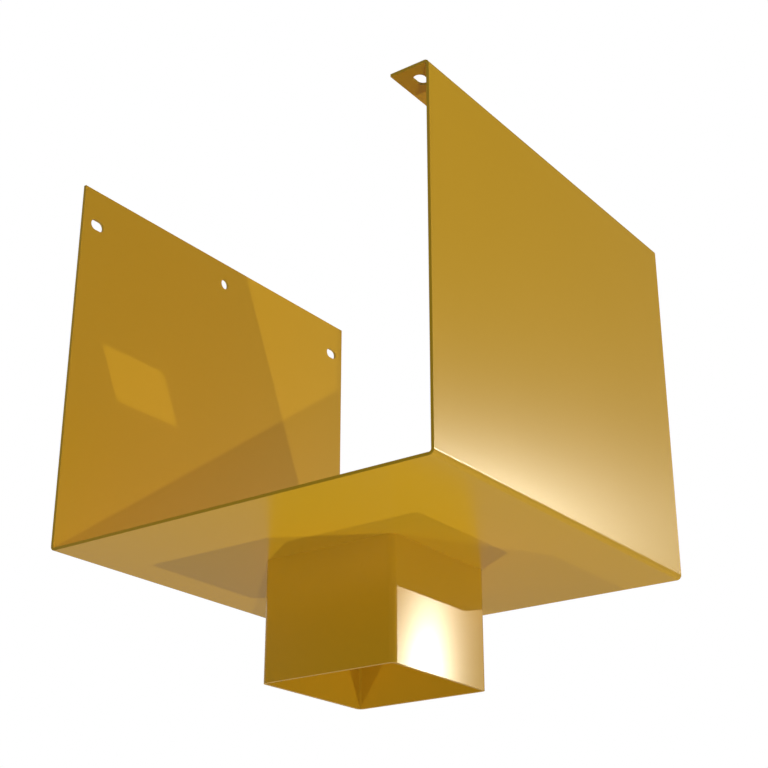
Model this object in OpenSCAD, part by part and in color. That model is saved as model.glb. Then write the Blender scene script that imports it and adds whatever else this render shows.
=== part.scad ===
// Rainwater outlet for a deep box gutter: a short length of channel folded from one sheet,
// with a square spigot let into its sole. It is modelled with the middle of the spigot's mouth
// at the origin, +X along the gutter, +Y towards the back wall and +Z up.

/* [Channel] */
// Length of the channel, along the gutter
outlet_l = 300; // [220:5:600]
// Outside width of the channel, front to back
channel_w = 300; // [220:5:500]
// Height of the front wall, from the underside of the sole to the top of the lip
front_h = 256; // [60:1:400]
// Height of the back wall, from the underside of the sole to its top edge
back_h = 273; // [60:1:450]
// Width of the lip that is folded in along the top of the front wall
lip_w = 28.5; // [22:0.5:60]
// Thickness of the sheet
sheet_t = 2; // [1:0.1:3]
// Radius on the inside of each fold
fold_r = 1.5; // [0.5:0.1:4]

/* [Spigot] */
// Clear width of the square spigot, inside its walls
bore_w = 100; // [60:1:150]
// Thickness of the spigot's walls
spigot_t = 2; // [1:0.1:4]
// Radius in the spigot's inside corners
corner_r = 2; // [0.5:0.1:10]
// Drop of the spigot's mouth below the underside of the sole
spigot_drop = 81; // [30:1:200]
// Gap left all round the spigot by its cut-out, 0 for a line-to-line fit
seat_gap = 0; // [0:0.05:0.5]

/* [Fixing holes] */
// Width of the slots, and the diameter of their round ends
slot_w = 8; // [4:0.5:11.5]
// Length of the slots, end to end
slot_l = 12; // [12:0.5:20]
// From the ends of the channel to the middles of the slots
slot_inset = 14; // [12:0.5:30]
// From the back wall's top edge down to the middles of its slots
slot_down = 27; // [14:0.5:45]
// From the front wall's face back to the middles of the lip's slots
lip_slot_back = 15; // [11:0.5:16]
// Diameter of the round hole in the middle of the back wall
hole_d = 8; // [4:0.5:12]
// From the back wall's top edge down to the middle of the round hole
hole_down = 17.5; // [10:0.5:45]

/* [Hidden] */
$fn = 64;
// How far each cutting shape runs past the faces that it cuts
overrun = 1;
fold_outer = fold_r + sheet_t;
corner_outer = corner_r + spigot_t;
spigot_w = bore_w + 2 * spigot_t;
front_y = -channel_w / 2;
back_y = channel_w / 2;

// A square of side w with corners of radius r, about the origin
module rounded_square(w, r) {
    square([w, w - 2 * r], center = true);
    square([w - 2 * r, w], center = true);
    for (x = [-1, 1], y = [-1, 1])
        translate([x * (w / 2 - r), y * (w / 2 - r)]) circle(r);
}

// One right-angle fold of the sheet, seen from its end, about the centre of its radius
module fold() {
    difference() {
        intersection() {
            circle(fold_outer);
            square(fold_outer);
        }
        circle(fold_r);
    }
}

// The folded sheet seen from its end: x runs front to back and y runs up, from the sole's underside
module folded_section() {
    // Sole
    translate([front_y + fold_outer, 0])
        square([channel_w - 2 * fold_outer, sheet_t]);
    translate([front_y + fold_outer, fold_outer]) rotate(180) fold();
    // Front wall
    translate([front_y, fold_outer]) square([sheet_t, front_h - 2 * fold_outer]);
    translate([front_y + fold_outer, front_h - fold_outer]) rotate(90) fold();
    // Lip
    translate([front_y + fold_outer, front_h - sheet_t])
        square([lip_w - fold_outer, sheet_t]);
    // Back wall
    translate([back_y - fold_outer, fold_outer]) rotate(270) fold();
    translate([back_y - sheet_t, fold_outer]) square([sheet_t, back_h - fold_outer]);
}

// Cutter for a slot along x, through the sheet along z
module slot_cut() {
    depth = sheet_t + 2 * overrun;
    cube([slot_l - slot_w, slot_w, depth], center = true);
    for (x = [-1, 1])
        translate([x * (slot_l - slot_w) / 2, 0, 0])
            cylinder(h = depth, d = slot_w, center = true);
}

// A slot cutter near each end of the channel
module slot_pair() {
    for (x = [-1, 1]) translate([x * (outlet_l / 2 - slot_inset), 0, 0]) children();
}

// Cutters through the back wall: a slot near each end and a round hole between them
module back_wall_holes() {
    translate([0, back_y - sheet_t / 2, back_h - slot_down])
        slot_pair() rotate([90, 0, 0]) slot_cut();
    translate([0, back_y - sheet_t / 2, back_h - hole_down])
        rotate([90, 0, 0])
            cylinder(h = sheet_t + 2 * overrun, d = hole_d, center = true);
}

// Cutters down through the lip: a slot near each end
module lip_holes() {
    translate([0, front_y + lip_slot_back, front_h - sheet_t / 2]) slot_pair() slot_cut();
}

// Cutter for the square hole in the sole that the spigot sits in
module spigot_cut() {
    translate([0, 0, -overrun])
        linear_extrude(sheet_t + 2 * overrun)
            rounded_square(spigot_w + 2 * seat_gap, corner_outer + seat_gap);
}

module channel() {
    color("goldenrod")
        translate([0, 0, spigot_drop])
            difference() {
                rotate([90, 0, 90])
                    linear_extrude(outlet_l, center = true) folded_section();
                spigot_cut();
                back_wall_holes();
                lip_holes();
            }
}

// A length of square tube, open at both ends, its top flush with the inside of the sole
module spigot() {
    color("darkgoldenrod")
        linear_extrude(spigot_drop + sheet_t)
            difference() {
                rounded_square(spigot_w, corner_outer);
                rounded_square(bore_w, corner_r);
            }
}

channel();
spigot();
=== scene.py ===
from math import cos, radians, sin

import bmesh
import bpy
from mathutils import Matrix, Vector

# Looks of a rainwater outlet: a deep gutter channel with a square spigot, seen from below.
# Metres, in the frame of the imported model: +X along the gutter, +Y to the back wall, +Z up.
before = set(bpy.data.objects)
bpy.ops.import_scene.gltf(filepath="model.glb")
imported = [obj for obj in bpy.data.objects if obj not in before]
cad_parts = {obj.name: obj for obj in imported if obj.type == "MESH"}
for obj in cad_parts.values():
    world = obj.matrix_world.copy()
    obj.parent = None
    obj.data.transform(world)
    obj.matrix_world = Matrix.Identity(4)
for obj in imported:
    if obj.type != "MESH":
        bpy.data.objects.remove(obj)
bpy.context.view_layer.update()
scene = bpy.context.scene
print("loaded", len(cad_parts), "nodes")


# A shader socket that takes part in plain arithmetic
class Field:
    def __init__(self, finish, socket):
        self.finish = finish
        self.socket = socket

    def maths(self, operation, first, second):
        return self.finish.node("ShaderNodeMath", {"operation": operation}, {0: first, 1: second})

    def __add__(self, other):
        return self.maths("ADD", self, other)

    def __radd__(self, other):
        return self.maths("ADD", other, self)

    def __sub__(self, other):
        return self.maths("SUBTRACT", self, other)

    def __rsub__(self, other):
        return self.maths("SUBTRACT", other, self)

    def __mul__(self, other):
        return self.maths("MULTIPLY", self, other)

    def __rmul__(self, other):
        return self.maths("MULTIPLY", other, self)

    def __gt__(self, other):
        return self.maths("GREATER_THAN", self, other)

    def __lt__(self, other):
        return self.maths("LESS_THAN", self, other)


# A node tree that is built one node at a time
class Finish:
    def __init__(self, tree):
        self.tree = tree
        tree.nodes.clear()

    def node(self, kind, settings=None, values=None, output=0):
        made = self.tree.nodes.new(kind)
        for key, value in (settings or {}).items():
            if key == "stops":
                self.setStops(made.color_ramp, value)
            else:
                setattr(made, key, value)
        for key, value in (values or {}).items():
            if isinstance(value, Field):
                self.tree.links.new(value.socket, made.inputs[key])
            else:
                made.inputs[key].default_value = value
        return Field(self, made.outputs[output]) if made.outputs else made

    def mix(self, factor, first, second):
        return self.node("ShaderNodeMix", {"data_type": "RGBA"}, {0: factor, 6: first, 7: second}, output=2)

    def split(self, vector):
        outputs = self.node("ShaderNodeSeparateXYZ", values={0: vector}).socket.node.outputs
        return [Field(self, socket) for socket in outputs]

    def clamp(self, value):
        return self.node("ShaderNodeClamp", values={0: value})

    def setStops(self, ramp, stops):
        while len(ramp.elements) < len(stops):
            ramp.elements.new(1.0)
        for element, (place, level) in zip(ramp.elements, stops):
            element.position = place
            element.color = (level, level, level, 1)


# Gold lacquer on sheet metal
lacquer = {
    "base": (0.69, 0.392, 0.0138, 1),
    "tint": (0.71, 0.399, 0.0146, 1),  # the other end of its slow drift in colour
    "cutEdge": (0.56, 0.34, 0.014, 1),
    "driftScale": 9.0,  # per metre
    "driftDetail": 2.0,
    "roughness": 0.2258,
    "roughnessDrift": 0.01,
    "peelScale": 420.0,  # orange peel, per metre
    "peelDetail": 1.0,
    "peelHeight": 1.2e-6,  # metres
    "ior": 1.5,
}


# Both pieces have the same lacquer. Each one leans its faces its own way, and the sheet also
# has cut edges, which are darker.
def lacquerMaterial(name, lean, cut=None):
    material = bpy.data.materials.new(name)
    material.use_nodes = True
    finish = Finish(material.node_tree)
    place = finish.node("ShaderNodeTexCoord", output=3)  # Object
    facing = finish.node("ShaderNodeTexCoord", output=1)  # Normal
    drift = finish.node(
        "ShaderNodeTexNoise",
        values={"Vector": place, "Scale": lacquer["driftScale"], "Detail": lacquer["driftDetail"]},
    )
    peel = finish.node(
        "ShaderNodeTexNoise",
        values={"Vector": place, "Scale": lacquer["peelScale"], "Detail": lacquer["peelDetail"]},
    )
    colour = finish.mix(drift, lacquer["base"], lacquer["tint"])
    if cut:
        colour = finish.mix(cut(finish, place), colour, lacquer["cutEdge"])
    roughness = lacquer["roughness"] + (drift - 0.5) * lacquer["roughnessDrift"]  # drift is about 0.5
    leaned = finish.node(
        "ShaderNodeVectorMath",
        {"operation": "ADD"},
        {0: facing, 1: lean(finish, place, facing)},
    )
    leaned = finish.node("ShaderNodeVectorMath", {"operation": "NORMALIZE"}, {0: leaned})
    normal = finish.node(
        "ShaderNodeBump",
        values={"Height": peel * lacquer["peelHeight"], "Distance": 1.0, "Normal": leaned},
    )
    shader = finish.node(
        "ShaderNodeBsdfPrincipled",
        values={
            "Base Color": colour,
            "Roughness": roughness,
            "IOR": lacquer["ior"],
            "Normal": normal,
        },
    )
    finish.node("ShaderNodeOutputMaterial", values={"Surface": shader})
    return material


def dress(node, look, lean, cut=None):
    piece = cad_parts[node]
    material = lacquerMaterial(look["material"], lean, cut)
    piece.data.materials.clear()
    piece.data.materials.append(material)


# The folded channel. Its sizes say where the sheet's faces and cut edges are.
sheet = {
    "material": "channelLacquer",
    "slot": "channel_sheet",
    "soleZ": 0.081,
    "wallHigh": 0.256,  # the front wall
    "halfWide": 0.15,
    "halfLong": 0.15,
    "wallY": 0.148,  # the back wall's inner face
    "topZ": 0.354,  # the back wall's top edge
    "lipZ": 0.335,  # the lip's underside
    "lipTopZ": 0.337,
    "lipY": -0.12,  # just past the lip's free edge
    "foldRadius": 0.0035,  # of the outer side
    "skin": 0.0001,  # how far off a face still counts as on it
    "turn": 0.0655,  # slope of the lean where a face meets its fold
}


# The sheet's faces turn a touch towards their folds, outwards outside and inwards inside
def sheetLean(finish, place, facing):
    y, z = finish.split(place)[1:]
    faceY, faceZ = finish.split(facing)[1:]
    drop = z - (sheet["soleZ"] + sheet["wallHigh"])
    acrossSole = faceZ * y * (-sheet["turn"] / sheet["halfWide"])
    downWall = faceY * y * drop * (sheet["turn"] / sheet["halfWide"] / sheet["wallHigh"])
    return finish.node("ShaderNodeCombineXYZ", values={1: acrossSole, 2: downWall})


# Where the sheet was cut: its two ends, its free edges and the walls of its holes, but not its folds
def sheetCut(finish, place):
    x, y, z = finish.split(place)
    skin = sheet["skin"]
    ends = (x * x) > (sheet["halfLong"] - skin) ** 2
    top = z > (sheet["topZ"] - skin)
    insideWall = (y > (sheet["wallY"] + skin)) * (y < (sheet["halfWide"] - skin))
    insideWall = insideWall * (z > (sheet["soleZ"] + sheet["foldRadius"]))
    insideLip = (z > (sheet["lipZ"] + skin)) * (z < (sheet["lipTopZ"] - skin)) * (y < sheet["lipY"])
    insideLip = insideLip * (y > (sheet["foldRadius"] - sheet["halfWide"]))
    return finish.clamp(ends + top + insideWall + insideLip)


# The square spigot
tube = {
    "material": "spigotLacquer",
    "slot": "spigot_tube",
    "halfWide": 0.052,
    "halfFlat": 0.048,  # half of a face, up to its rounded corners
    "turn": 0.0682,  # slope of the lean where a face meets its corner
}


# The tube's faces turn a touch towards its rounded corners
def tubeLean(finish, place, facing):
    x, y = finish.split(place)[:2]
    faceX, faceY = finish.split(facing)[:2]
    outwards = (faceX * x + faceY * y) * (1 / tube["halfWide"])
    turn = outwards * (tube["turn"] / tube["halfFlat"])
    return finish.node("ShaderNodeCombineXYZ", values={0: x * turn, 1: y * turn})


dress("channel", sheet, sheetLean, sheetCut)
dress("spigot", tube, tubeLean)
print("dressed the sheet and the tube")

backdrop = 1.0  # what the camera sees behind the outlet

# White to the camera. Its own colour only shows in the light that it throws back up.
floor = {"height": -1.0, "size": 24.0, "colour": (0.237, 0.251, 0.423, 1)}


def makeFloor():
    mesh = bpy.data.meshes.new("floor")
    shape = bmesh.new()
    bmesh.ops.create_grid(shape, x_segments=1, y_segments=1, size=floor["size"] / 2)
    bmesh.ops.translate(shape, verts=shape.verts, vec=(0, 0, floor["height"]))
    shape.to_mesh(mesh)
    shape.free()
    piece = bpy.data.objects.new("floor", mesh)
    scene.collection.objects.link(piece)
    material = bpy.data.materials.new("paleFloor")
    material.use_nodes = True
    finish = Finish(material.node_tree)
    matt = finish.node("ShaderNodeBsdfDiffuse", values={"Color": floor["colour"]})
    white = finish.node("ShaderNodeEmission", values={"Strength": backdrop})
    seen = finish.node("ShaderNodeLightPath", output=0)  # 1 for what the camera sees directly
    both = finish.node("ShaderNodeMixShader", values={0: seen, 1: matt, 2: white})
    finish.node("ShaderNodeOutputMaterial", values={"Surface": both})
    mesh.materials.append(material)
    piece.visible_shadow = False  # the beams from below pass through it


# Seven hard beams: the way each one travels, its strength and its tint
beams = {
    "keyLight": {"way": (-1.292, 1.0, -0.348), "power": 0.732, "tint": (1.0, 0.911, 0.7)},
    "topLight": {"way": (-0.32, 0.56, -0.77), "power": 0.626},
    "frontFill": {"way": (-0.463, 0.828, 1.0), "power": 0.831},
    "underFill": {"way": (-24, -35, 81), "power": 0.622},
    "leftFill": {"way": (98, -55.5, 81), "power": 0.467},
    "lowFill": {"way": (1.0, 1.0, 0.7227), "power": 0.612},
    "upFill": {"way": (0, 0, 1), "power": 0.19},
}
beamSpread = 0.003  # radians across, so that shadows keep a crisp edge
beamAway = 2.0  # how far off each lamp stands, which only the viewport shows


def makeBeam(name, beam):
    light = bpy.data.lights.new(name, "SUN")
    light.energy = beam["power"]
    light.color = beam.get("tint", (1, 1, 1))
    light.angle = beamSpread
    piece = bpy.data.objects.new(name, light)
    way = Vector(beam["way"]).normalized()
    piece.rotation_mode = "QUATERNION"
    piece.rotation_quaternion = way.to_track_quat("-Z", "Y")
    piece.location = -beamAway * way
    scene.collection.objects.link(piece)


# Four soft walls of light round the outlet. Each one faces in from its own side, in degrees,
# and its stops run from the height of the horizon, 0, to straight overhead, 1.
walls = {
    "frontRight": {
        "side": -30,
        "stops": [(0, 0.3), (0.2, 0.27), (0.32, 0.18), (0.46, 0.11), (0.65, 0.04), (1, 0.41)],
    },
    "backRight": {
        "side": 60,
        "stops": [(0, 0.1), (0.1, 0.15), (0.2, 0.5), (0.32, 1.5), (0.46, 1.8), (0.65, 0.9), (1, 0.75)],
    },
    "backLeft": {
        "side": 150,
        "stops": [(0, 0.1), (0.2, 0), (0.46, 0), (0.65, 0.16), (1, 0.47)],
    },
    "frontLeft": {
        "side": -120,
        "stops": [(0, 0), (0.1, 0), (0.2, 0.04), (0.46, 0.25), (1, 0.5)],
    },
}


def makeSky():
    world = bpy.data.worlds.new("studio")
    world.use_nodes = True
    scene.world = world
    finish = Finish(world.node_tree)
    x, y, z = finish.split(finish.node("ShaderNodeTexCoord", output=0))  # the way looked in
    flat = finish.node("ShaderNodeCombineXYZ", values={0: x, 1: y})
    flat = finish.node("ShaderNodeVectorMath", {"operation": "NORMALIZE"}, {0: flat})
    glow = 0
    for wall in walls.values():
        turn = radians(wall["side"])
        facing = finish.node(
            "ShaderNodeVectorMath",
            {"operation": "DOT_PRODUCT"},
            {0: flat, 1: (cos(turn), sin(turn), 0)},
            output=1,
        )
        facing = finish.node("ShaderNodeMath", {"operation": "MAXIMUM"}, {0: facing, 1: 0})
        up = finish.node("ShaderNodeValToRGB", {"stops": wall["stops"]}, {0: z})
        glow = facing * facing * up + glow
    soft = finish.node("ShaderNodeBackground", values={"Color": glow, "Strength": 1.0})
    white = finish.node(
        "ShaderNodeBackground",
        values={"Color": (1, 1, 1, 1), "Strength": backdrop},
    )
    seen = finish.node("ShaderNodeLightPath", output=0)  # 1 for what the camera sees directly
    both = finish.node("ShaderNodeMixShader", values={0: seen, 1: soft, 2: white})
    finish.node("ShaderNodeOutputWorld", values={"Surface": both})


# The view of the photograph: from the front left, well below the outlet
camera = {
    "lens": 70.204,
    "sensor": 36.0,
    "place": (-0.77319, -0.57213, -0.20546),
    "aim": (-0.03567, -0.03302, 0.19199),
}


def makeCamera():
    lens = bpy.data.cameras.new("camera")
    lens.lens = camera["lens"]
    lens.sensor_width = camera["sensor"]
    piece = bpy.data.objects.new("camera", lens)
    place = Vector(camera["place"])
    piece.location = place
    piece.rotation_mode = "QUATERNION"
    piece.rotation_quaternion = (Vector(camera["aim"]) - place).to_track_quat("-Z", "Y")
    scene.collection.objects.link(piece)
    scene.camera = piece


makeFloor()
for name, beam in beams.items():
    makeBeam(name, beam)
makeSky()
makeCamera()
scene.view_settings.view_transform = "Standard"
print("set the floor, the light and the camera")
